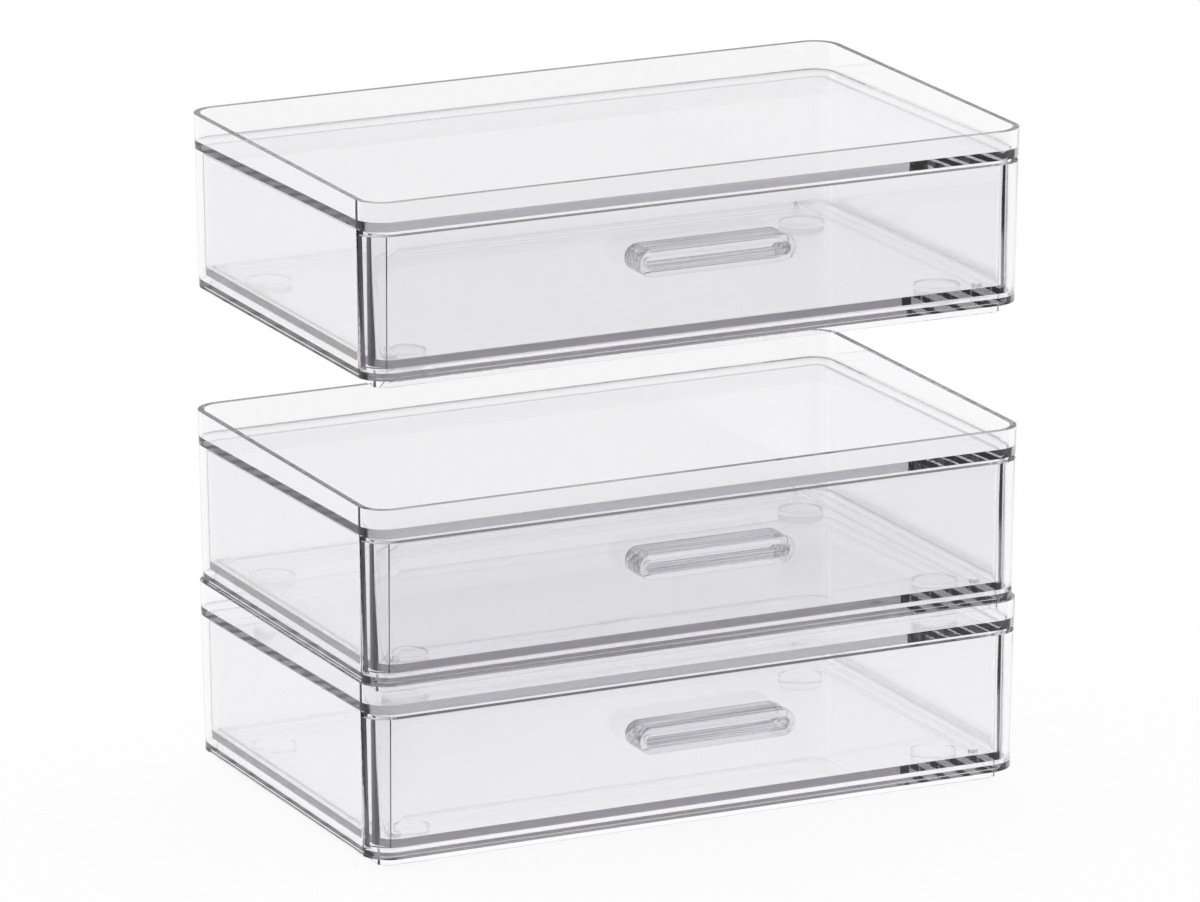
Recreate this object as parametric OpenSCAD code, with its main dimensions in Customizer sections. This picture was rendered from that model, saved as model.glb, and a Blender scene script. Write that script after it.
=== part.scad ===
// Stackable drawer box: three clear boxes, each a one-piece case with a
// pull-out drawer.  The middle box is seated on the bottom one and the top
// box is lifted clear of the middle one.
// Every height inside a box is a depth below that box's own rim.

/* [Case] */
// Width of a case at its rim
case_w = 305; // [240:1:360]
// Depth of a case at its rim, front to back
case_d = 189; // [150:1:240]
// Height of a case, rim to underside
case_h = 75.4; // [66:0.1:110]
// Radius of the upright corners
corner_r = 12.5; // [9:0.5:16]
// Thickness of the side, back and rim walls
wall_t = 2.8; // [2:0.1:3.4]
// How much smaller each side is at the underside than at the rim
draft_in = 1.05; // [0.2:0.05:1.6]

/* [Top tray] */
// Depth of the recessed top panel below the rim, at the front
panel_drop = 8.5; // [7.5:0.1:14]
// Thickness of the top panel
panel_t = 3.7; // [2.4:0.1:4.5]
// Fall of the top panel towards the back, in degrees
panel_fall = 1.05; // [0:0.05:1.5]

/* [Base] */
// Thickness of the case floor
base_t = 3.3; // [2.4:0.1:4.5]
// Inset of the locating ring from the underside's edge
ring_inset = 6.75; // [5:0.05:12]
// Height of the locating ring under the case
ring_h = 4.6; // [2.5:0.1:5]
// Thickness of the locating ring
ring_t = 2; // [1.4:0.1:3]
// Radius of the locating ring's corners
ring_r = 5; // [3:0.5:8]
// Distance of a drawer runner's middle from the case's middle
runner_x = 136; // [90:0.5:136]
// Width of a drawer runner
runner_w = 5; // [3:0.5:8]
// Start of the runners behind the front
runner_start = 17; // [13:0.5:40]

/* [Feet] */
// Diameter of a round foot pad
foot_d = 20; // [12:0.5:24]
// How far a foot pad reaches below the locating ring
foot_proud = 0.5; // [0.3:0.1:1.2]
// Rounded edge of a foot pad
foot_edge = 1.8; // [0.3:0.1:2.4]
// Distance of a foot pad's middle from the side of the case
foot_side = 28.5; // [22:0.5:45]
// Distance of a foot pad's middle from the front or back of the case
foot_end = 30.5; // [24:0.5:45]

/* [Drawer] */
// Gap between the top panel and the drawer
top_gap = 2.1; // [1:0.1:4]
// Gap between the case floor and the drawer
floor_gap = 1.95; // [1:0.05:3]
// Thickness of the drawer's front plate
front_t = 3; // [2:0.1:4]
// Thickness of the drawer's side and back walls
tray_t = 2.5; // [1.8:0.1:3.2]
// Thickness of the drawer floor
tray_floor = 3.1; // [2:0.1:4]
// Gap between the drawer's side and the case wall at the underside
tray_side_gap = 1; // [0.4:0.1:2.5]
// Gap between the drawer's back and the case's back wall
tray_back_gap = 2.8; // [0.6:0.1:8]
// Radius of the drawer's upright corners
tray_r = 6; // [4:0.5:14]
// Seam between the drawer's front and the case's side walls
seam_gap = 0.5; // [0.3:0.1:1]

/* [Handle] */
// Width of the handle
handle_w = 72.7; // [50:0.1:100]
// Height of the handle
handle_h = 11.7; // [9:0.1:16]
// Height of the slot through the handle
slot_h = 5.4; // [5:0.1:7]
// How far the handle stands out from the drawer's front
handle_reach = 14.5; // [9:0.1:22]
// Depth of the handle's middle below the rim
handle_depth = 34.6; // [30:0.1:40]
// Bevel round the handle's front edges
handle_edge = 0.5; // [0.2:0.1:0.8]

/* [Stack] */
// Height that the top box is lifted above its seat
lift = 54.3; // [0:0.1:80]
// Gap between a case's underside and the rim that it sits on
seat_gap = 0.3; // [0.2:0.05:0.6]
// Running clearance between the drawer and its runners
runner_gap = 0.3; // [0.2:0.05:0.6]

/* [Hidden] */

$fn = 64;
cut = 1;                                // overshoot of every cutting solid
clear_plastic = [0.88, 0.88, 0.92, 0.35];
clear_rubber = [0.93, 0.93, 0.95, 0.5];

mid_y = handle_reach / 2;               // centres the whole part, handles included
front_y = -case_d / 2;
back_y = case_d / 2;
foot_depth = case_h + ring_h + foot_proud;        // lowest point of a box
pitch = case_h + seat_gap;                        // rim to rim when stacked
bottom_rim = foot_depth;
middle_rim = bottom_rim + pitch;
top_rim = middle_rim + pitch + lift;
floor_depth = case_h - base_t;                    // top of the case floor
panel_under = panel_drop + panel_t;               // panel's underside, in front
drawer_top = panel_under + top_gap;
drawer_bottom = floor_depth - floor_gap;
tray_floor_depth = drawer_bottom - tray_floor;    // top of the drawer floor
runner_h = floor_gap - runner_gap;
tray_half_w = case_w / 2 - draft_in - wall_t - tray_side_gap;
tray_back_y = back_y - draft_in - wall_t - tray_back_gap;
seam_y = front_y + corner_r;                      // front ends of the side walls
tray_front_y = seam_y - seam_gap - tray_t;
foot_x = case_w / 2 - foot_side;
foot_y = case_d / 2 - foot_end;

// How far the outside has drawn in at a depth below the rim
function lean(depth) = draft_in * depth / case_h;

// Rectangle with round corners
module rounded(w, d, r) {
    square([w - 2 * r, d], center = true);
    square([w, d - 2 * r], center = true);
    for (x = [-1, 1], y = [-1, 1])
        translate([x * (w / 2 - r), y * (d / 2 - r)]) circle(r);
}

// Drafted block between two depths, a given distance inside the case's outside
module drafted(top, bottom, inset = 0) {
    low_w = case_w - 2 * (inset + lean(bottom));
    low_d = case_d - 2 * (inset + lean(bottom));
    rise = 2 * (lean(bottom) - lean(top));
    translate([0, 0, -bottom])
        linear_extrude(bottom - top, slices = 1,
                       scale = [1 + rise / low_w, 1 + rise / low_d])
            rounded(low_w, low_d, corner_r - inset);
}

// Slab between two planes that fall towards the back with the panel; the
// thickness is measured straight down
module sloping(top, thickness) {
    across = thickness * cos(panel_fall);
    translate([0, front_y, -top])
        rotate([-panel_fall, 0, 0])
            translate([-case_w, -case_d, -across])
                cube([2 * case_w, 3 * case_d, across]);
}

// The space in front of the seam, from one depth down to another
module front_zone(top, bottom, y_end) {
    translate([-case_w, front_y - handle_reach - cut, -bottom])
        cube([2 * case_w, y_end - front_y + handle_reach + cut, bottom - top]);
}

// Ring that drops inside the rim of the box below
module locating_ring() {
    low_w = case_w - 2 * (draft_in + ring_inset);
    low_d = case_d - 2 * (draft_in + ring_inset);
    translate([0, 0, -case_h - ring_h])
        linear_extrude(ring_h) difference() {
            rounded(low_w, low_d, ring_r);
            rounded(low_w - 2 * ring_t, low_d - 2 * ring_t, ring_r - ring_t);
        }
}

// Rib on the case floor that carries one side of the drawer
module runner(x) {
    runner_end = back_y - draft_in - wall_t;
    translate([x, 0, -floor_depth])
        linear_extrude(runner_h) {
            translate([-runner_w / 2, front_y + runner_start])
                square([runner_w, runner_end - front_y - runner_start]);
            translate([0, front_y + runner_start]) circle(d = runner_w);
        }
}

// One-piece case: rim, sloping top panel, walls, floor, ring and runners
module case(rim) {
    color(clear_plastic) translate([0, mid_y, rim]) {
        difference() {
            drafted(0, case_h);
            difference() {
                drafted(-cut, floor_depth, wall_t);
                sloping(panel_drop, panel_t);
            }
            difference() {
                front_zone(panel_drop, floor_depth, seam_y);
                sloping(panel_drop - case_h, case_h + panel_t);
            }
        }
        locating_ring();
        for (side = [-1, 1]) runner(side * runner_x);
    }
}

// Outline of the tray where it runs back from the drawer's front
module tray_outline() {
    difference() {
        translate([0, tray_back_y - case_d / 2])
            rounded(2 * tray_half_w, case_d, tray_r);
        translate([-case_w, tray_front_y - case_d]) square([2 * case_w, case_d]);
    }
}

// Space inside the drawer
module tray_inside() {
    inside_back = tray_back_y - tray_t;
    inside_front = front_y + draft_in + front_t;
    translate([0, (inside_back + inside_front) / 2, -tray_floor_depth])
        linear_extrude(tray_floor_depth)
            rounded(2 * (tray_half_w - tray_t), inside_back - inside_front,
                    tray_r - tray_t);
}

// Pull-out drawer: a front that wraps the case's corners, and its tray
module drawer(rim) {
    color(clear_plastic) translate([0, mid_y, rim]) difference() {
        union() {
            intersection() {
                drafted(drawer_top, drawer_bottom);
                front_zone(0, case_h, seam_y - seam_gap);
            }
            translate([0, 0, -drawer_bottom])
                linear_extrude(drawer_bottom - drawer_top) tray_outline();
        }
        tray_inside();
        sloping(drawer_top - case_h, case_h);
    }
}

// Flat oval with round ends
module stadium(w, h) {
    square([w - h, h], center = true);
    for (side = [-1, 1]) translate([side * (w - h) / 2, 0]) circle(d = h);
}

// Pull: a deep oval ring bonded to the drawer's front
module handle(rim) {
    slot_w = handle_w - handle_h + slot_h;
    full = handle_reach + draft_in + cut;
    color(clear_plastic) translate([0, mid_y, rim]) difference() {
        translate([0, front_y - handle_reach, -handle_depth]) rotate([-90, 0, 0])
            difference() {
                union() {
                    linear_extrude(handle_edge, slices = 1,
                                   scale = [handle_w / (handle_w - 2 * handle_edge),
                                            handle_h / (handle_h - 2 * handle_edge)])
                        stadium(handle_w - 2 * handle_edge, handle_h - 2 * handle_edge);
                    translate([0, 0, handle_edge])
                        linear_extrude(full - handle_edge) stadium(handle_w, handle_h);
                }
                translate([0, 0, -cut]) linear_extrude(full + 2 * cut)
                    stadium(slot_w, slot_h);
            }
        drafted(drawer_top, drawer_bottom);
    }
}

// Round pad under the case floor, inside the locating ring
module foot(rim, x_side, y_side) {
    r = foot_d / 2;
    color(clear_rubber)
        translate([x_side * foot_x, mid_y + y_side * foot_y, rim - foot_depth])
            rotate_extrude()
                polygon(concat([[0, 0]],
                    [for (a = [0:22.5:90]) [r - foot_edge + foot_edge * sin(a),
                                            foot_edge - foot_edge * cos(a)]],
                    [[r, foot_depth - case_h], [0, foot_depth - case_h]]));
}

case(bottom_rim);  // bottom_case
drawer(bottom_rim);  // bottom_drawer
handle(bottom_rim);  // bottom_handle
foot(bottom_rim, -1, -1);  // bottom_foot_front_left
foot(bottom_rim, 1, -1);  // bottom_foot_front_right
foot(bottom_rim, -1, 1);  // bottom_foot_back_left
foot(bottom_rim, 1, 1);  // bottom_foot_back_right
case(middle_rim);  // middle_case
drawer(middle_rim);  // middle_drawer
handle(middle_rim);  // middle_handle
foot(middle_rim, -1, -1);  // middle_foot_front_left
foot(middle_rim, 1, -1);  // middle_foot_front_right
foot(middle_rim, -1, 1);  // middle_foot_back_left
foot(middle_rim, 1, 1);  // middle_foot_back_right
case(top_rim);  // top_case
drawer(top_rim);  // top_drawer
handle(top_rim);  // top_handle
foot(top_rim, -1, -1);  // top_foot_front_left
foot(top_rim, 1, -1);  // top_foot_front_right
foot(top_rim, -1, 1);  // top_foot_back_left
foot(top_rim, 1, 1);  // top_foot_back_right
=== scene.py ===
"""Three clear stacking drawer boxes: cases, drawers, pulls and soft pads, made around the
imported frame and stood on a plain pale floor."""
import math
from types import SimpleNamespace

import bmesh
import bpy
from mathutils import Matrix, Vector


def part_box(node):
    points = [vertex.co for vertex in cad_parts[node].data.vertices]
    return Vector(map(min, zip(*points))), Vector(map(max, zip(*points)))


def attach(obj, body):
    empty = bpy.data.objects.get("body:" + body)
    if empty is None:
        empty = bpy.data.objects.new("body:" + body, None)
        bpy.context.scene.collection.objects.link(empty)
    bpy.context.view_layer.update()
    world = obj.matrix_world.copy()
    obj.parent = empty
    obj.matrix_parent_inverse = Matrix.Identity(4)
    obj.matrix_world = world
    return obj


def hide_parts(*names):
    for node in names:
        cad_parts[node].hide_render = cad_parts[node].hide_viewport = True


bl_info = {
    "name": "Clear drawer boxes",
    "version": (1, 0, 0),
    "blender": (4, 5, 0),
    "location": "View3D > Sidebar > Drawer boxes",
    "description": "Builds the clear cases, drawers, pulls and pads of a stack of boxes",
    "category": "Add Mesh",
}

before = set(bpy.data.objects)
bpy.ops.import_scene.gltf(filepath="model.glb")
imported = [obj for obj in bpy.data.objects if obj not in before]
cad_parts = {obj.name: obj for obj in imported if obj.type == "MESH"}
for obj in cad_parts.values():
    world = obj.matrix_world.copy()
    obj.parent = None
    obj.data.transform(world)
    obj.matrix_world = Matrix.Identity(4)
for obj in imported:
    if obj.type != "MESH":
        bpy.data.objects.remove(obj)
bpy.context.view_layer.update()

MM = 0.001                       # one millimetre in metres
BOXES = ("bottom", "middle", "top")
PADS = [f"{end}_{side}" for end in ("front", "back") for side in ("left", "right")]

ARC = 14                         # segments in a round corner
SIDE = 2                         # segments between a seam and the straight side
ROUNDED = math.radians(28)       # edges that turn more than this are rounded
CREASED = math.radians(110)      # edges that turn more than this stay sharp
PAD_SIDES, PAD_STEPS = 64, 16    # faces round a pad and up its side
PAD_CREASE = math.radians(40)    # pad edges that turn more than this stay sharp
NOTHING = 1e-7                   # metres that count as none

PAINTED_SHADE_MARK = "sawn"                    # face attribute: how much painted shade a face takes, from 0 to 1
FLOOR_EDGE_SHADE = 0.7            # its value on the front edge of a case's floor
UP_FROM = 0.3                    # share of a normal from which a face looks up
AHEAD_FROM = 0.5                 # the same for one that looks to the front
GRAIN_RUN = (0.02, 1, 1)         # streaks in the painted shade run along x

FRONT = (-0.43, -0.90, 0)        # level direction that the room is dimmer in
FLOOR_DIMS = (0.1, 0.3)          # metres along FRONT where the floor starts and ends dimming
ROOM_DIMS = (0.05, 0.4)          # the same for the room, as a share of a unit direction
FLOOR_RADIUS = 12                # metres
SEEN_FLOOR = 1.06                # brightness of the floor to the camera
SEEN_GLOW = 0.85                 # share of that floor that glows, the rest takes shadows
BOUNCES = 40                     # enough for light to get through all the boxes


# ---------------------------------------------------------------- sizes and colours

def length(name, default, description):
    """A property for a length, with its default in millimetres."""
    return bpy.props.FloatProperty(
        name=name, description=description, default=default * MM, min=0, unit="LENGTH")


def angle(name, default, description):
    """A property for an angle, with its default in degrees."""
    return bpy.props.FloatProperty(
        name=name, description=description, default=math.radians(default), subtype="ANGLE")


def brightness(name, default, description):
    """A property for a brightness from 0 to 1."""
    return bpy.props.FloatProperty(
        name=name, description=description, default=default, min=0, max=1, subtype="FACTOR")


def colour(name, default, description):
    """A property for a colour."""
    return bpy.props.FloatVectorProperty(
        name=name, description=description, default=default, min=0, max=1, subtype="COLOR")


class BoxSizes(bpy.types.PropertyGroup):
    """Sizes of one box"""
    case_w: length("Width", 305, "Width at the rim")
    case_d: length("Depth", 189, "Depth at the rim")
    case_h: length("Height", 75.4, "Rim to underside")
    corner_r: length("Corner", 12.5, "Radius of the upright corners")
    wall_t: length("Wall", 2.8, "Thickness of the walls")
    draft_in: length("Draft", 1.05, "How much each side draws in down to the underside")
    panel_drop: length("Panel drop", 8.5, "Depth of the top panel in front")
    panel_t: length("Panel", 3.7, "Thickness of the top panel")
    panel_fall: angle("Panel fall", 1.05, "Slope of the top panel down to the back")
    base_t: length("Floor", 3.3, "Thickness of the case floor")
    ring_inset: length("Ring inset", 6.75, "Locating ring from the underside's edge")
    ring_h: length("Ring height", 4.6, "Height of the locating ring")
    ring_t: length("Ring wall", 2, "Thickness of the locating ring")
    ring_r: length("Ring corner", 5, "Radius of the ring's corners")
    runner_x: length("Runner place", 136, "Middle of a runner from the case's middle")
    runner_w: length("Runner width", 5, "Width of a runner")
    runner_start: length("Runner start", 17, "Start of the runners behind the front")
    seam_at: length("Seam place", 10.8, "Front ends of the side walls behind the front")
    edge_r: length("Edge", 0.35, "Rounding of every moulded edge")
    pad_edge: length("Pad edge", 1.8, "Rounding of a pad's lower edge")
    pad_grip: length("Pad grip", 0.05, "How far a pad reaches into the floor it sticks to")


class DrawerSizes(bpy.types.PropertyGroup):
    """Sizes of one drawer and its pull"""
    top_gap: length("Top gap", 2.1, "Gap under the top panel")
    floor_gap: length("Floor gap", 1.95, "Gap over the case floor")
    runner_gap: length("Runner gap", 0.3, "Running gap over the runners")
    front_t: length("Front", 3, "Thickness of the front plate and its wrapped ends")
    tray_t: length("Tray wall", 2.4, "Thickness of the side and back walls")
    tray_floor: length("Tray floor", 3.1, "Thickness of the drawer floor")
    side_gap: length("Side gap", 1.4, "Gap beside the tray")
    tray_draft: length("Tray draft", 0.5, "How much the tray draws in down to its underside")
    back_gap: length("Back gap", 2.8, "Gap behind the tray")
    tray_r: length("Tray corner", 6, "Radius of the rear corners")
    fore_r: length("Front corner", 9.3, "Radius of the tray's corners behind the front")
    weld: length("Weld", 0.7, "How deep the tray's front corners sink into the front")
    seam_gap: length("Seam", 0.5, "Gap between the front and the case's walls")
    pull_w: length("Pull width", 72.7, "Width of the pull")
    pull_h: length("Pull height", 11.7, "Height of the pull")
    slot_h: length("Slot", 5.4, "Height of the slot in the pull")
    pull_reach: length("Pull reach", 14.5, "How far the pull stands out")
    pull_depth: length("Pull place", 34.6, "Middle of the pull below the rim")
    pull_edge: length("Pull edge", 0.5, "Rounding of the pull's edges")
    bond: length("Bond", 0.06, "Film between the pull and the front")


class PlasticColours(bpy.types.PropertyGroup):
    """Colours of the clear plastic, and of the painted shade on its marked faces"""
    tint: colour("Tint", (0.985, 0.985, 0.992), "Colour that each surface gives the light")
    depth_tint: colour("Depth tint", (0.5, 0.48, 0.53), "Colour that thick plastic takes")
    # painted shade: near black, for the dark lines along the rims' tops and the case floors'
    # front edges
    edge_shade_tint: colour("Edge tint", (0.02, 0.02, 0.024), "Dull faces of rims and floors")
    # painted shade: grey, for the darker top, bottom and slot faces of the pulls
    pull_tint: colour("Pull tint", (0.3, 0.29, 0.32), "Dull faces of the pulls")
    shadow_tint: colour("Shadow tint", (0.97, 0.97, 0.975), "Light let through in a shadow")


class StudioSettings(bpy.types.PropertyGroup):
    """Camera, floor and light"""
    aim: bpy.props.FloatVectorProperty(
        name="Aim", description="Point that the camera looks at", subtype="XYZ", unit="LENGTH",
        default=(-0.0183, -0.0255, 0.1513))
    distance: bpy.props.FloatProperty(
        name="Distance", description="Camera to the aim", unit="LENGTH", default=4.0693)
    azimuth: angle("Azimuth", 25.42, "Turn of the view from straight on")
    elevation: angle("Elevation", 15.46, "Height of the view")
    roll: angle("Roll", -0.13, "Tilt of the picture")
    lens: bpy.props.FloatProperty(
        name="Lens", description="Focal length on the sensor", unit="CAMERA", default=289.47)
    sensor: bpy.props.FloatProperty(
        name="Sensor", description="Width of the sensor", unit="CAMERA", default=36)
    bright_side: brightness("Bright side", 0.95, "Brightness of the room behind the boxes")
    dim_side: brightness("Dim side", 0.3, "Brightness of the room in front of the boxes")
    dim_floor: brightness("Dim floor", 0.6, "Brightness of the floor in front of the boxes")
    floor_tint: colour("Floor", (0.9, 0.9, 0.9), "Colour of the floor where it takes shadows")


def settings(name):
    """One of the property groups that the scene holds."""
    return getattr(bpy.context.scene, name)


def in_mm(name):
    """The lengths of a property group, in millimetres."""
    group = settings(name)
    return SimpleNamespace(**{key: getattr(group, key) / MM for key in group.__annotations__
                              if group.bl_rna.properties[key].unit == "LENGTH"})


# ---------------------------------------------------------------- measures

class Measures:
    """Places worked out from a box's sizes s and its drawer's sizes d, in millimetres.
    A depth counts down from the box's rim."""

    def __init__(self):
        self.s, self.d = in_mm("box_sizes"), in_mm("drawer_sizes")
        s, d = self.s, self.d
        self.mid_y = d.pull_reach / 2
        self.front_y, self.back_y = -s.case_d / 2, s.case_d / 2
        self.fall = math.tan(settings("box_sizes").panel_fall)
        self.panel_under = s.panel_drop + s.panel_t
        self.floor = s.case_h - s.base_t
        self.drawer_top = self.panel_under + d.top_gap
        self.drawer_bottom = self.floor - d.floor_gap
        self.tray_floor = self.drawer_bottom - d.tray_floor
        self.tray_half = s.case_w / 2 - s.draft_in - s.wall_t - d.side_gap
        self.tray_back = self.back_y - s.draft_in - s.wall_t - d.back_gap
        self.seam_y = self.front_y + s.seam_at

    def lean(self, depth):
        """How far the outside has drawn in at a depth."""
        return self.s.draft_in * depth / self.s.case_h

    def tray_lean(self, depth):
        """How far the tray's sides have drawn in at a depth."""
        down = (depth - self.drawer_top) / (self.drawer_bottom - self.drawer_top)
        return self.d.tray_draft * down

    def sloped(self, depth, y):
        """Depth at y of a plane that falls with the panel from a depth in front."""
        return depth + (y - self.front_y) * self.fall

    def rim_height(self, box):
        """Height of a box's rim above the ground, in metres."""
        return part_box(f"{box}_case")[1].z


# ---------------------------------------------------------------- mesh tools

def arc(cx, cy, rx, ry, start, end, steps=ARC):
    """Points on part of an ellipse, angles in degrees."""
    angles = [math.radians(start + (end - start) * i / steps) for i in range(steps + 1)]
    return [(cx + rx * math.cos(a), cy + ry * math.sin(a)) for a in angles]


class Shell:
    """A closed mesh made of loops of points, strips between them and flat faces.
    rise is the height of the box's rim in metres, and shift moves the points along y,
    in millimetres."""

    def __init__(self, rise, shift):
        self.bm = bmesh.new()
        self.rise, self.shift = rise, shift

    def point(self, x, y, depth):
        """A vertex, with its place in millimetres from the middle of the rim."""
        return self.bm.verts.new((x * MM, (y + self.shift) * MM, self.rise - depth * MM))

    def loop(self, points, depth):
        """Vertices at the points; depth is a number or a function of y."""
        at = depth if callable(depth) else (lambda y: depth)
        return [self.point(x, y, at(y)) for x, y in points]

    def face(self, verts):
        """A face with any number of corners."""
        return self.bm.faces.new(verts)

    def strip(self, low, high, closed=True):
        """Quads between two loops, outwards when the loops run anticlockwise."""
        count = len(low)
        for i in range(count if closed else count - 1):
            j = (i + 1) % count
            self.face((low[i], low[j], high[j], high[i]))

    def finish(self, name, edge, rounds=2):
        """Rounds the edges, but leaves creases too narrow to round sharp, and returns
        a smooth-shaded object."""
        bm = self.bm
        bmesh.ops.recalc_face_normals(bm, faces=bm.faces)
        for e in bm.edges:
            e.smooth = e.calc_face_angle() < CREASED
        turned = [e for e in bm.edges if e.smooth and e.calc_face_angle() > ROUNDED]
        bmesh.ops.bevel(bm, geom=turned, offset=edge * MM, offset_type="OFFSET",
                        segments=rounds, profile=0.5, affect="EDGES", clamp_overlap=True)
        for face in bm.faces:
            face.smooth = True
        mesh = bpy.data.meshes.new(name)
        bm.to_mesh(mesh)
        bm.free()
        piece = bpy.data.objects.new(name, mesh)
        bpy.context.collection.objects.link(piece)
        keep_flats(piece)
        return piece


def keep_flats(piece):
    """Gives the piece normals that leave its wide faces flat, as a plain mesh."""
    weigh = piece.modifiers.new("flats", "WEIGHTED_NORMAL")
    weigh.weight = 100                     # the widest face counts most
    weigh.keep_sharp = True
    settle(piece, weigh)


def mark_painted_shade(piece, how_far):
    """Notes on each face how much painted shade it takes, from 0 to 1."""
    marks = piece.data.attributes.new(PAINTED_SHADE_MARK, "FLOAT", "FACE")
    marks.data.foreach_set("value", [float(how_far(face)) for face in piece.data.polygons])


def settle(piece, modifier):
    """Turns what a modifier makes into the piece's own plain mesh."""
    bpy.context.view_layer.update()
    graph = bpy.context.evaluated_depsgraph_get()
    solid = bpy.data.meshes.new_from_object(piece.evaluated_get(graph))
    piece.modifiers.remove(modifier)
    old = piece.data
    piece.data = solid
    solid.name = piece.name
    bpy.data.meshes.remove(old)


def case_outline(m, depth, inset=0):
    """Points round the case at a depth, from the left seam past the front."""
    s = m.s
    in_by = m.lean(depth) + inset
    half_w, half_d = s.case_w / 2 - in_by, s.case_d / 2 - in_by
    r = s.corner_r - inset
    x, y = half_w - r, half_d - r
    seam = math.degrees(math.asin((-y - m.seam_y) / r))
    return (arc(-x, -y, r, r, 180 + seam, 270) + arc(x, -y, r, r, 270, 360 - seam)
            + arc(x, -y, r, r, 360 - seam, 360, SIDE)[1:]
            + arc(x, y, r, r, 0, 90) + arc(-x, y, r, r, 90, 180)
            + arc(-x, -y, r, r, 180, 180 + seam, SIDE)[:-1])


def rounded(half_w, half_d, r):
    """Points round a rectangle with round corners, as many as the case's outline has."""
    side = [(half_w, r - half_d + step) for step in range(1, SIDE + 1)]
    return (arc(r - half_w, r - half_d, r, r, 180, 270)
            + arc(half_w - r, r - half_d, r, r, 270, 360) + side
            + arc(half_w - r, half_d - r, r, r, 0, 90)
            + arc(r - half_w, half_d - r, r, r, 90, 180)
            + [(-x, y) for x, y in reversed(side)])


def sloped_outline(m, depth, inset=0):
    """The case's outline where a sloping plane cuts it, as (x, y, depth)."""
    points = []
    for i, (_, level_y) in enumerate(case_outline(m, depth, inset)):
        x, y = case_outline(m, m.sloped(depth, level_y), inset)[i]
        points.append((x, y, m.sloped(depth, y)))
    return points


# ---------------------------------------------------------------- pieces

def make_case(name, rise):
    """One case as a single closed shell, open in front for the drawer."""
    m = Measures()
    s = m.s
    shell = Shell(rise, m.mid_y)
    seam = 2 * ARC + 1                     # last column of the front zone
    back_at = SIDE + ARC + 1               # columns on to the end of the rear right corner
    rim_out = shell.loop(case_outline(m, 0), 0)
    rim_in = shell.loop(case_outline(m, 0, s.wall_t), 0)
    panel_in = [shell.point(*p) for p in sloped_outline(m, s.panel_drop, s.wall_t)]
    under_out = [shell.point(*p) for p in sloped_outline(m, m.panel_under)[:seam + 1]]
    under_line = sloped_outline(m, m.panel_under, s.wall_t)
    under_in = [shell.point(*p) for p in under_line[seam:] + under_line[:1]]
    floor_out = [shell.point(x, y, m.floor) for x, y in case_outline(m, m.floor)[:seam + 1]]
    floor_line = case_outline(m, m.floor, s.wall_t)
    floor_in = [shell.point(x, y, m.floor) for x, y in floor_line[seam:] + floor_line[:1]]
    foot_out = shell.loop(case_outline(m, s.case_h), s.case_h)
    ring_w = s.case_w / 2 - s.draft_in - s.ring_inset
    ring_d = s.case_d / 2 - s.draft_in - s.ring_inset
    ring_line = rounded(ring_w, ring_d, s.ring_r)
    ring_inside = rounded(ring_w - s.ring_t, ring_d - s.ring_t, s.ring_r - s.ring_t)
    ring_top = shell.loop(ring_line, s.case_h)
    ring_low = shell.loop(ring_line, s.case_h + s.ring_h)
    ring_low_in = shell.loop(ring_inside, s.case_h + s.ring_h)
    ring_top_in = shell.loop(ring_inside, s.case_h)

    shell.strip(rim_out, rim_in)
    shell.strip(rim_in, panel_in)
    shell.face(panel_in)
    shell.strip(under_out, rim_out[:seam + 1], closed=False)
    shell.strip(foot_out[:seam + 1], floor_out, closed=False)
    for i in range(seam, len(rim_out)):    # the side and back walls, round to the seam
        j = (i + 1) % len(rim_out)
        corners = [foot_out[i], foot_out[j], rim_out[j], rim_out[i]]
        if i == seam:
            corners += [under_out[seam], floor_out[seam]]
        if j == 0:
            corners[2:2] = [floor_out[0], under_out[0]]
        shell.face(corners)
    shell.face(under_out + under_in)
    shell.face((floor_out[-1], floor_in[0], under_in[0], under_out[-1]))
    shell.face((floor_out[0], under_out[0], under_in[-1], floor_in[-1]))

    # the floor and the back wall, notched by the two runners
    floor_edge, wall_edge = [], []
    for side in (1, -1):
        notch, step = add_runner(shell, m, side)
        floor_edge += notch
        wall_edge += step
    for i in range(len(floor_in) - 1):
        if i == back_at:
            shell.face([under_in[i], floor_in[i]] + wall_edge
                       + [floor_in[i + 1], under_in[i + 1]])
        else:
            shell.face((under_in[i], floor_in[i], floor_in[i + 1], under_in[i + 1]))
    shell.face(floor_out + floor_in[:back_at + 1] + floor_edge + floor_in[back_at + 1:])

    shell.strip(ring_top, foot_out)
    shell.strip(ring_low, ring_top)
    shell.strip(ring_low_in, ring_low)
    shell.strip(ring_top_in, ring_low_in)
    shell.face(ring_top_in)
    piece = shell.finish(name, s.edge_r)
    underside = rise - s.case_h * MM

    # painted shade: dark lines on the rim's top and, fainter, on the floor's front edge
    def sawn(face):
        """1 on the rim's top, less on the floor's front edge and 0 elsewhere."""
        if face.normal.z > UP_FROM and face.center.z > rise - s.edge_r * MM:
            return 1
        if face.normal.y < -AHEAD_FROM and underside < face.center.z < rise - m.floor * MM:
            return FLOOR_EDGE_SHADE
        return 0

    mark_painted_shade(piece, sawn)
    return piece


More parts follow.
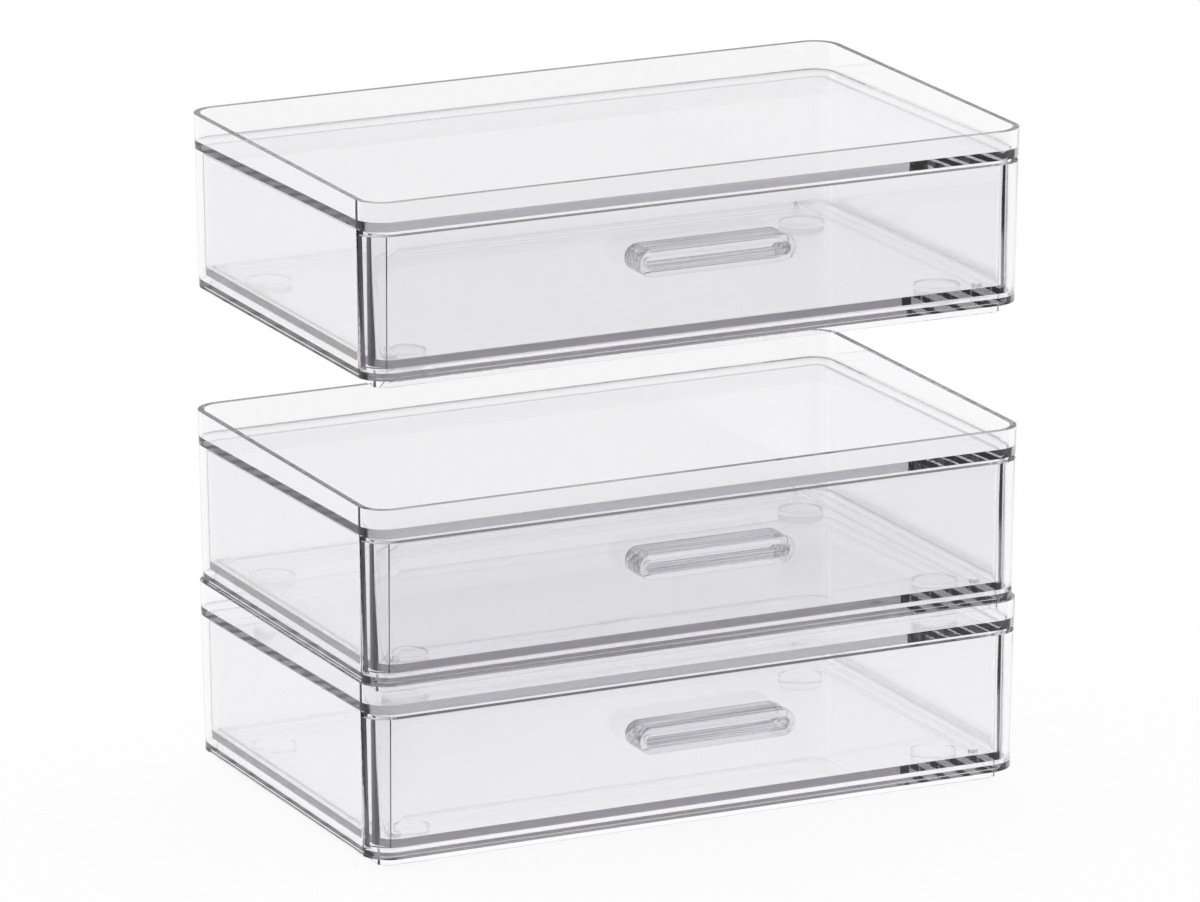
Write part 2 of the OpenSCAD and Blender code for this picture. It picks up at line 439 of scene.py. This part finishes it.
def add_runner(shell, m, side):
    """A rib that runs forward from the back wall. Returns the floor's edge round
    it and the back wall's edge over it, both running from right to left."""
    s, d = m.s, m.d
    height = d.floor_gap - d.runner_gap
    half = s.runner_w / 2
    x, start = side * s.runner_x, m.front_y + s.runner_start

    def back_wall(depth):
        return s.case_d / 2 - m.lean(depth) - s.wall_t

    nose = arc(x, start, half, half, 360, 180)
    low_y, high_y = back_wall(m.floor), back_wall(m.floor - height)
    low = ([shell.point(x + half, low_y, m.floor)] + shell.loop(nose, m.floor)
           + [shell.point(x - half, low_y, m.floor)])
    high = ([shell.point(x + half, high_y, m.floor - height)]
            + shell.loop(nose, m.floor - height)
            + [shell.point(x - half, high_y, m.floor - height)])
    shell.strip(low, high, closed=False)
    shell.face(high)
    return low, [low[0], high[0], high[-1], low[-1]]


def drawer_outline(m, depth):
    """Points round a drawer at a depth: its front wraps the corners with free ends,
    and the tray stands behind it with round corners of its own."""
    s, d = m.s, m.d
    lean = m.lean(depth)
    fore = m.front_y + lean
    r, wrap_r, tray_r = s.corner_r, s.corner_r - d.front_t, d.fore_r
    x, y = s.case_w / 2 - lean - r, fore + r
    half, rear = m.tray_half - m.tray_lean(depth), m.tray_back - m.tray_lean(depth)
    tray_x, tray_y = half - tray_r, fore + d.front_t - d.weld + tray_r
    end = y - m.seam_y + d.seam_gap
    outer, inner = (math.degrees(math.asin(end / radius)) for radius in (r, wrap_r))
    cross = meeting((x, y), wrap_r, (tray_x, tray_y), tray_r)
    wrap, tray = (math.degrees(math.atan2(cy - cross[1], cross[0] - cx))
                  for cx, cy in ((x, y), (tray_x, tray_y)))
    return (arc(-x, y, r, r, 180 + outer, 270) + [(0, fore)] + arc(x, y, r, r, 270, 360 - outer)
            + arc(x, y, wrap_r, wrap_r, -inner, -wrap)
            + arc(tray_x, tray_y, tray_r, tray_r, -tray, 0)[1:]
            + arc(half - d.tray_r, rear - d.tray_r, d.tray_r, d.tray_r, 0, 90) + [(0, rear)]
            + arc(d.tray_r - half, rear - d.tray_r, d.tray_r, d.tray_r, 90, 180)
            + arc(-tray_x, tray_y, tray_r, tray_r, 180, 180 + tray)
            + arc(-x, y, wrap_r, wrap_r, 180 + wrap, 180 + inner)[1:])


def meeting(a, a_r, b, b_r):
    """The foremost point where two circles cross."""
    gap_x, gap_y = b[0] - a[0], b[1] - a[1]
    gap = math.hypot(gap_x, gap_y)
    along = (a_r ** 2 - b_r ** 2 + gap ** 2) / (2 * gap)
    off = math.sqrt(a_r ** 2 - along ** 2)
    x, y = a[0] + along * gap_x / gap, a[1] + along * gap_y / gap
    return min(((x + k * off * gap_y / gap, y - k * off * gap_x / gap) for k in (1, -1)),
               key=lambda point: point[1])


def on_middle(verts):
    """The places in a loop of its two vertices halfway between left and right."""
    return (i for i, vert in enumerate(verts) if abs(vert.co.x) < NOTHING)


def make_drawer(name, rise):
    """One drawer: a front that wraps the corners, and its tray, as one shell."""
    m = Measures()
    d = m.d
    shell = Shell(rise, m.mid_y)

    def top_at(y):
        """Depth of the drawer's top, which follows the panel over it."""
        return m.sloped(m.drawer_top, y)

    def well(depth):
        """Points round the space inside the drawer."""
        inset = m.tray_lean(depth) + d.tray_t
        half, rear = m.tray_half - inset, m.tray_back - inset
        fore = m.front_y + m.s.draft_in + d.front_t
        r, rear_r = d.fore_r - d.tray_t, d.tray_r - d.tray_t
        return (arc(r - half, fore + r, r, r, 180, 270) + [(0, fore)]
                + arc(half - r, fore + r, r, r, 270, 360)
                + arc(half - rear_r, rear - rear_r, rear_r, rear_r, 0, 90) + [(0, rear)]
                + arc(rear_r - half, rear - rear_r, rear_r, rear_r, 90, 180))

    low = shell.loop(drawer_outline(m, m.drawer_bottom), m.drawer_bottom)
    high = shell.loop(drawer_outline(m, m.drawer_top), top_at)
    well_top = shell.loop(well(m.drawer_top), top_at)
    well_low = shell.loop(well(m.tray_floor), m.tray_floor)
    shell.strip(low, high)
    shell.strip(well_top, well_low)
    shell.face(low[::-1])
    shell.face(well_low)
    fore_out, rear_out = on_middle(high)
    fore_in, rear_in = on_middle(well_top)
    shell.face(high[fore_out:rear_out + 1] + well_top[fore_in:rear_in + 1][::-1])
    shell.face(high[rear_out:] + high[:fore_out + 1]
               + (well_top[rear_in:] + well_top[:fore_in + 1])[::-1])
    return shell.finish(name, m.s.edge_r)


def make_pull(name, rise):
    """One pull: a deep oval ring with rounded edges."""
    m = Measures()
    d = m.d
    shell = Shell(rise, m.mid_y)
    reach_y = m.front_y - d.pull_reach

    def oval(height):
        """Points round an oval of the pull's slot or outside, as (x, depth)."""
        reach, r = (d.pull_w - d.pull_h) / 2, height / 2
        return arc(reach, 0, r, r, -90, 90) + arc(-reach, 0, r, r, 90, 270)

    def ring(height, bonded):
        """Vertices round that oval, on the drawer's front or out at the pull's reach."""
        verts = []
        for x, up in oval(height):
            depth = d.pull_depth - up
            y = m.front_y + m.lean(depth) - d.bond if bonded else reach_y
            verts.append(shell.point(x, y, depth))
        return verts

    outer, outer_back = ring(d.pull_h, False), ring(d.pull_h, True)
    slot, slot_back = ring(d.slot_h, False), ring(d.slot_h, True)
    shell.strip(outer, slot)
    shell.strip(outer_back, outer)
    shell.strip(slot_back, outer_back)
    shell.strip(slot, slot_back)
    piece = shell.finish(name, d.pull_edge, rounds=3)
    # painted shade on the pull's faces, more the less they face front or back
    mark_painted_shade(piece, lambda face: 1 - abs(face.normal.y))
    return piece


def pad_tree():
    """A node tree that stands a round pad on each point, with its lower edge rounded."""
    tree = bpy.data.node_groups.new("round_pads", "GeometryNodeTree")
    shape = "NodeSocketGeometry"
    tree.interface.new_socket("Geometry", in_out="OUTPUT", socket_type=shape)
    kinds = {"Points": shape, "Radius": "NodeSocketFloat", "Height": "NodeSocketFloat",
             "Edge": "NodeSocketFloat", "Material": "NodeSocketMaterial"}
    for name, kind in kinds.items():
        tree.interface.new_socket(name, in_out="INPUT", socket_type=kind)
    g = Graph(tree)
    points, radius, height, edge, material = (
        g.add("NodeGroupInput", {}, {}, name) for name in kinds)
    drum = g.add("GeometryNodeMeshCylinder", {"fill_type": "NGON"}, {
        "Vertices": PAD_SIDES, "Side Segments": PAD_STEPS, "Radius": radius,
        "Depth": height}, "Mesh")
    place = g.add("GeometryNodeInputPosition", {}, {})
    up = g.add("SeparateXYZ", {}, {0: place}, "Z") / height * 2      # from -1 to 1
    turn = g.add("Clamp", {}, {"Value": 0 - up}) * (math.pi / 2)
    keep = 1 - (1 - turn.wave("COSINE")) * edge / radius
    rise = (1 - turn.wave("SINE")) * edge + g.add("Clamp", {}, {"Value": up}) * (height - edge)
    flat = g.add("VectorMath", {"operation": "MULTIPLY"}, {
        0: place, 1: g.add("CombineXYZ", {}, {"X": keep, "Y": keep})})
    lifted = g.add("VectorMath", {"operation": "ADD"}, {
        0: flat, 1: g.add("CombineXYZ", {}, {"Z": rise - height * 0.5})})
    pad = g.add("GeometryNodeSetPosition", {}, {"Geometry": drum, "Position": lifted})
    smooth = g.add("GeometryNodeSetShadeSmooth", {}, {"Geometry": pad})
    spread = g.add("GeometryNodeInstanceOnPoints", {}, {"Points": points, "Instance": smooth},
                   "Instances")
    solid = g.add("GeometryNodeRealizeInstances", {}, {"Geometry": spread})
    g.add("NodeGroupOutput", {}, {"Geometry": g.add("GeometryNodeSetMaterial", {}, {
        "Geometry": solid, "Material": material})})
    return tree


def make_pads(name, nodes):
    """The soft round pads under one case, as one plain mesh."""
    s = settings("box_sizes")
    boxes = [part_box(node) for node in nodes]
    low, high = boxes[0]
    height = high.z - low.z + s.pad_grip
    mesh = bpy.data.meshes.new(name)
    mesh.from_pydata([((a.x + b.x) / 2, (a.y + b.y) / 2, a.z + height / 2) for a, b in boxes],
                     [], [])
    piece = bpy.data.objects.new(name, mesh)
    bpy.context.collection.objects.link(piece)
    tree = bpy.data.node_groups.get("round_pads") or pad_tree()
    sizes = {"Radius": (high.x - low.x) / 2, "Height": height, "Edge": s.pad_edge,
             "Material": finish_for("clear_pad")}
    grow = piece.modifiers.new("pads", "NODES")
    grow.node_group = tree
    for socket in tree.interface.items_tree:
        if socket.name in sizes:
            grow[socket.identifier] = sizes[socket.name]
    settle(piece, grow)
    piece.data.set_sharp_from_angle(angle=PAD_CREASE)
    return piece


# ---------------------------------------------------------------- materials

class Socket:
    """A value in a node tree that takes part in Python sums."""

    def __init__(self, graph, output):
        self.graph, self.output = graph, output

    def _maths(self, operation, other, swapped=False):
        pair = (other, self) if swapped else (self, other)
        return self.graph.add("Math", {"operation": operation}, {0: pair[0], 1: pair[1]})

    def __add__(self, other):
        return self._maths("ADD", other)

    __radd__ = __add__

    def __mul__(self, other):
        return self._maths("MULTIPLY", other)

    __rmul__ = __mul__

    def __sub__(self, other):
        return self._maths("SUBTRACT", other)

    def __rsub__(self, other):
        return self._maths("SUBTRACT", other, swapped=True)

    def __truediv__(self, other):
        return self._maths("DIVIDE", other)

    def wave(self, kind):
        """The sine or cosine of this value."""
        return self.graph.add("Math", {"operation": kind}, {0: self})


class Graph:
    """A node tree that is cleared and built up again."""

    def __init__(self, tree):
        self.tree = tree
        tree.nodes.clear()

    def add(self, kind, options, values, out=0):
        """Adds a node: its options are set first, then its sockets' values or links."""
        node = self.tree.nodes.new(kind if "Node" in kind else f"ShaderNode{kind}")
        for key, value in options.items():
            setattr(node, key, value)
        for key, value in values.items():
            socket = node.inputs[key]
            if isinstance(value, Socket):
                self.tree.links.new(value.output, socket)
            else:
                socket.default_value = value
        return Socket(self, node.outputs[out]) if len(node.outputs) else None


def new_material(name):
    """A material and its empty node tree."""
    material = bpy.data.materials.new(name)
    material.use_nodes = True
    return material, Graph(material.node_tree)


def climb(g, value, start, end, low=0.0, high=1.0, curve="LINEAR"):
    """Goes from low to high while the value goes from start to end."""
    return g.add("MapRange", {"interpolation_type": curve}, {
        "Value": value, "From Min": start, "From Max": end, "To Min": low, "To Max": high})


def paint(name):
    """One of the plastic's colours, as a socket takes it."""
    return (*getattr(settings("plastic_colours"), name), 1)


def clear_plastic(name, look):
    """Clear moulded plastic: glossy, faintly tinted, a little wavy and scuffed, with
    streaked painted shade on the faces marked for it."""
    material, g = new_material(name)
    place = g.add("TexCoord", {}, {}, "Object")
    waves = g.add("TexNoise", {}, {"Vector": place, "Scale": look["wave_scale"],
                                   "Detail": 1.0}, "Fac")
    marks = g.add("TexNoise", {}, {"Vector": place, "Scale": look["mark_scale"],
                                   "Detail": 3.0, "Roughness": 0.6}, "Fac")
    worn = climb(g, marks, *look["mark_range"])
    surface = g.add("Bump", {}, {"Strength": look["bump"], "Distance": look["bump_depth"],
                                 "Height": waves + worn * look["mark_depth"]})
    along = g.add("VectorMath", {"operation": "MULTIPLY"}, {0: place, 1: GRAIN_RUN})
    grain = g.add("TexNoise", {}, {"Vector": along, "Scale": look["grain_scale"],
                                   "Detail": 1.0}, "Fac")
    sawn = g.add("Attribute", {"attribute_name": PAINTED_SHADE_MARK}, {}, "Fac")
    # painted shade: marked faces turn towards a darker tint, in streaks along x
    painted_shade_share = sawn * climb(g, grain, *look["grain_range"], low=look["painted_shade_least"])
    tint = g.add("Mix", {"data_type": "RGBA"}, {
        "Factor": painted_shade_share, "A": paint("tint"), "B": paint(look["painted_shade_tint"])}, "Result")
    shell = g.add("BsdfPrincipled", {}, {
        "Base Color": tint, "Roughness": worn * look["scuff"] + look["polish"],
        "IOR": look["ior"], "Transmission Weight": 1.0, "Normal": surface})
    shade = g.add("BsdfTransparent", {}, {"Color": paint("shadow_tint")})
    lamps = g.add("LightPath", {}, {}, "Is Shadow Ray")
    depth = g.add("VolumeAbsorption", {}, {
        "Color": paint("depth_tint"), "Density": look["absorb"]})
    g.add("OutputMaterial", {}, {
        "Surface": g.add("MixShader", {}, {0: lamps, 1: shell, 2: shade}), "Volume": depth})
    return material


# the last two entries set the painted shade on marked faces: its least share between streaks, and
# its colour
ACRYLIC = {
    "ior": 1.59, "absorb": 7.5, "polish": 0.0,
    "bump": 0.1, "bump_depth": 0.0004, "wave_scale": 22.0,
    "mark_scale": 260.0, "mark_range": (0.52, 0.75), "mark_depth": 0.03, "scuff": 0.05,
    "grain_scale": 500.0, "grain_range": (0.4, 0.6), "painted_shade_least": 0.8,
    "painted_shade_tint": "edge_shade_tint"}
DRAWER = dict(ACRYLIC, absorb=12.0)
# the pulls take a grey painted shade, streaked more strongly than on the cases
PULL = dict(ACRYLIC, painted_shade_least=0.2, painted_shade_tint="pull_tint")
SILICONE = dict(ACRYLIC, ior=1.42, polish=0.04, scuff=0.1, absorb=4.0)

FINISHES = {
    "clear_case": ("clear_acrylic", ACRYLIC),
    "clear_drawer": ("drawer_acrylic", DRAWER),
    "clear_pull": ("polished_acrylic", PULL),
    "clear_pad": ("clear_silicone", SILICONE)}


def finish_for(slot):
    """The material of one of the record's slots."""
    name, look = FINISHES[slot]
    return bpy.data.materials.get(name) or clear_plastic(name, look)


def dress(piece, nodes, body, slot):
    """Lets a piece stand for CAD nodes, ride on their body and wear their finish."""
    piece.data.materials.clear()
    piece.data.materials.append(finish_for(slot))
    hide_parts(*nodes)
    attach(piece, body)


# ---------------------------------------------------------------- studio

def set_camera(context):
    """Aims a camera at the boxes."""
    s = settings("studio_settings")
    turn, tilt, roll = s.azimuth, s.elevation, s.roll
    ahead = Vector((math.sin(turn) * math.cos(tilt), math.cos(turn) * math.cos(tilt),
                    -math.sin(tilt)))
    level = Vector((math.cos(turn), -math.sin(turn), 0))
    upright = level.cross(ahead)
    right = math.cos(roll) * level + math.sin(roll) * upright
    up = math.cos(roll) * upright - math.sin(roll) * level
    data = bpy.data.cameras.new("camera")
    data.lens, data.sensor_width, data.sensor_fit = s.lens, s.sensor, "HORIZONTAL"
    data.clip_end = 100                    # metres, well past the floor
    camera = bpy.data.objects.new("camera", data)
    camera.matrix_world = Matrix((right, up, -ahead)).transposed().to_4x4()
    camera.location = Vector(s.aim) - ahead * s.distance
    context.collection.objects.link(camera)
    context.scene.camera = camera


def dimming(g, place, reach, bright, dim):
    """Brightness that drops from bright to dim over a reach along FRONT."""
    out = g.add("VectorMath", {"operation": "DOT_PRODUCT"}, {0: place, 1: FRONT}, "Value")
    return climb(g, out, *reach, bright, dim, "SMOOTHSTEP")


def set_floor(context):
    """Lays a round floor that glows, and takes the boxes' faint shadows."""
    mesh = bpy.data.meshes.new("floor")
    bm = bmesh.new()
    bmesh.ops.create_circle(bm, cap_ends=True, segments=64, radius=FLOOR_RADIUS)
    bm.to_mesh(mesh)
    bm.free()
    floor = bpy.data.objects.new("floor", mesh)
    context.collection.objects.link(floor)
    material, g = new_material("pale_floor")
    seen, mirrored, through = (g.add("LightPath", {}, {}, f"Is {kind} Ray")
                               for kind in ("Camera", "Glossy", "Transmission"))
    s = settings("studio_settings")
    level = dimming(g, g.add("TexCoord", {}, {}, "Object"), FLOOR_DIMS, 1, s.dim_floor)
    matt = g.add("BsdfDiffuse", {}, {"Color": (*s.floor_tint, 1)})
    glow = g.add("Emission", {}, {"Strength": seen * SEEN_FLOOR + (1 - seen) * level})
    share = seen * SEEN_GLOW + mirrored + through
    g.add("OutputMaterial", {}, {"Surface": g.add("MixShader", {}, {0: share, 1: matt, 2: glow})})
    mesh.materials.append(material)


def set_light(context):
    """Lights the boxes from all round, less from the front."""
    scene = context.scene
    world = bpy.data.worlds.new("studio")
    scene.world = world
    world.use_nodes = True
    g = Graph(world.node_tree)
    seen = g.add("LightPath", {}, {}, "Is Camera Ray")
    white = g.add("Background", {}, {"Color": (1, 1, 1, 1), "Strength": 1.0})
    s = settings("studio_settings")
    level = dimming(g, g.add("TexCoord", {}, {}, "Generated"), ROOM_DIMS,
                    s.bright_side, s.dim_side)
    room = g.add("Background", {}, {"Color": (1, 1, 1, 1), "Strength": level})
    g.add("OutputWorld", {}, {"Surface": g.add("MixShader", {}, {0: seen, 1: room, 2: white})})
    scene.view_settings.view_transform = "Standard"
    for kind in ("max_bounces", "transmission_bounces", "glossy_bounces",
                 "transparent_max_bounces"):
        setattr(scene.cycles, kind, BOUNCES)


# ---------------------------------------------------------------- operators

class BuildCases(bpy.types.Operator):
    """Build the three cases"""
    bl_idname = "drawerbox.cases"
    bl_label = "Cases"

    def execute(self, context):
        for box in BOXES:
            piece = make_case(f"{box}_case_shell", Measures().rim_height(box))
            dress(piece, [f"{box}_case"], f"{box}_box", "clear_case")
        return {"FINISHED"}


class BuildDrawers(bpy.types.Operator):
    """Build the three drawers"""
    bl_idname = "drawerbox.drawers"
    bl_label = "Drawers"

    def execute(self, context):
        for box in BOXES:
            piece = make_drawer(f"{box}_drawer_tray", Measures().rim_height(box))
            dress(piece, [f"{box}_drawer"], f"{box}_pullout", "clear_drawer")
        return {"FINISHED"}


class BuildPulls(bpy.types.Operator):
    """Build the three pulls"""
    bl_idname = "drawerbox.pulls"
    bl_label = "Pulls"

    def execute(self, context):
        for box in BOXES:
            piece = make_pull(f"{box}_pull", Measures().rim_height(box))
            dress(piece, [f"{box}_handle"], f"{box}_pullout", "clear_pull")
        return {"FINISHED"}


class BuildPads(bpy.types.Operator):
    """Build the round pads under each case"""
    bl_idname = "drawerbox.pads"
    bl_label = "Pads"

    def execute(self, context):
        for box in BOXES:
            nodes = [f"{box}_foot_{place}" for place in PADS]
            dress(make_pads(f"{box}_pads", nodes), nodes, f"{box}_box", "clear_pad")
        return {"FINISHED"}


class BuildStudio(bpy.types.Operator):
    """Build the floor, the light and the camera"""
    bl_idname = "drawerbox.studio"
    bl_label = "Studio"

    def execute(self, context):
        set_camera(context)
        set_floor(context)
        set_light(context)
        return {"FINISHED"}


class DrawerBoxPanel(bpy.types.Panel):
    """Lists the sizes, the colours and the build steps"""
    bl_idname = "VIEW3D_PT_drawer_boxes"
    bl_label = "Drawer boxes"
    bl_space_type = "VIEW_3D"
    bl_region_type = "UI"
    bl_category = "Drawer boxes"

    def draw(self, context):
        for name in GROUPS:
            group = settings(name)
            for key in group.__annotations__:
                self.layout.prop(group, key)
        for step in STEPS:
            self.layout.operator(step.bl_idname)


STEPS = (BuildCases, BuildDrawers, BuildPulls, BuildPads, BuildStudio)
GROUPS = {"box_sizes": BoxSizes, "drawer_sizes": DrawerSizes,
          "plastic_colours": PlasticColours, "studio_settings": StudioSettings}


def register():
    for kind in (*GROUPS.values(), *STEPS, DrawerBoxPanel):
        bpy.utils.register_class(kind)
    for name, group in GROUPS.items():
        setattr(bpy.types.Scene, name, bpy.props.PointerProperty(type=group))


def unregister():
    for name in GROUPS:
        delattr(bpy.types.Scene, name)
    for kind in reversed((*GROUPS.values(), *STEPS, DrawerBoxPanel)):
        bpy.utils.unregister_class(kind)


def main():
    register()
    bpy.ops.drawerbox.cases()
    bpy.ops.drawerbox.drawers()
    bpy.ops.drawerbox.pulls()
    bpy.ops.drawerbox.pads()
    bpy.ops.drawerbox.studio()


if __name__ == "__main__":
    main()
